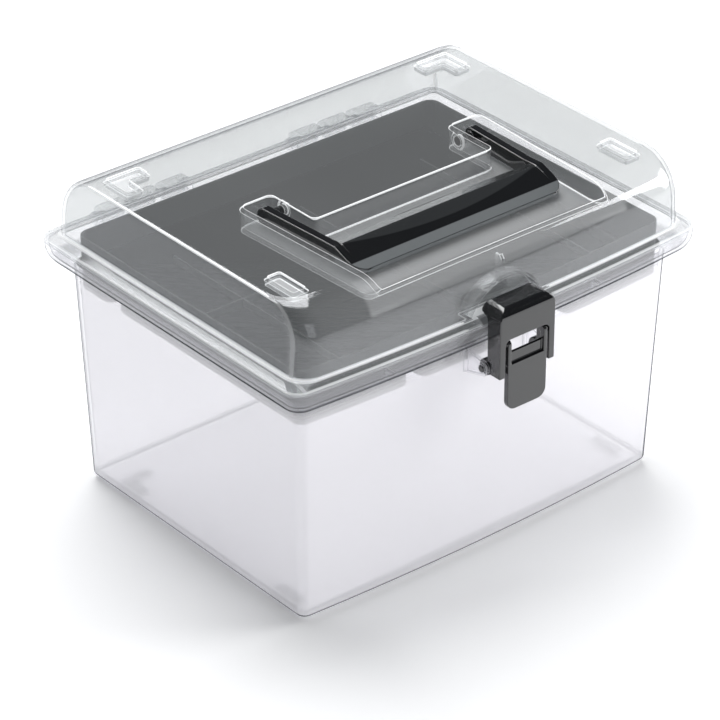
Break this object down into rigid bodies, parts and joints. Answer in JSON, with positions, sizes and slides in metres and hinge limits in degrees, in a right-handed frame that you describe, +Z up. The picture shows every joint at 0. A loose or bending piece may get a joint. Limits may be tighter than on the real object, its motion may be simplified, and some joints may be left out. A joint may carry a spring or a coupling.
{
  "type": "portable file box",
  "caption": "Clear lidded box for papers with a fold-down carrying handle sunk in the lid, a lift-out organiser tray and a front latch.",
  "frame": {"origin": "on the ground under the middle of the whole footprint, hinge hooks and latch included", "axes": "+X along the front towards its right end, +Y from the latch side to the hinge side, +Z up"},
  "size_m": [0.347, 0.3034, 0.2378],
  "materials": {
    "clear_plastic": "clear, glossy",
    "smoke_plastic": "translucent smoke grey, satin",
    "black_plastic": "glossy"
  },
  "bodies": {
    "tub_body": {"tub": "clear_plastic"},
    "lid_body": {"lid": "clear_plastic"},
    "tray_body": {"organizer_tray": "smoke_plastic"},
    "handle_body": {"handle": "black_plastic"},
    "latch_frame_body": {"latch_frame": "black_plastic"},
    "latch_lever_body": {"latch_lever": "black_plastic"}
  },
  "joints": [
    {"name": "lid_hinge", "type": "hinge", "parent": "tub_body", "child": "lid_body", "pos_m": [0, 0.14701, 0.1802], "axis": [-1, 0, 0], "range_deg": [0, 105]},
    {"name": "handle_pivot", "type": "hinge", "parent": "lid_body", "child": "handle_body", "pos_m": [0, 0.00285, 0.2304], "axis": [-1, 0, 0], "range_deg": [0, 112]},
    {"name": "latch_pivot", "type": "hinge", "parent": "tub_body", "child": "latch_frame_body", "pos_m": [0, -0.1372, 0.15644], "axis": [1, 0, 0], "range_deg": [0, 48]},
    {"name": "lever_pivot", "type": "hinge", "parent": "latch_frame_body", "child": "latch_lever_body", "pos_m": [0, -0.14891, 0.1759], "axis": [-1, 0, 0], "range_deg": [0, 95]},
    {"name": "tray_lift", "type": "slide", "parent": "tub_body", "child": "tray_body", "axis": [0, 0, 1], "range_m": [0, 0.026]}
  ]
}
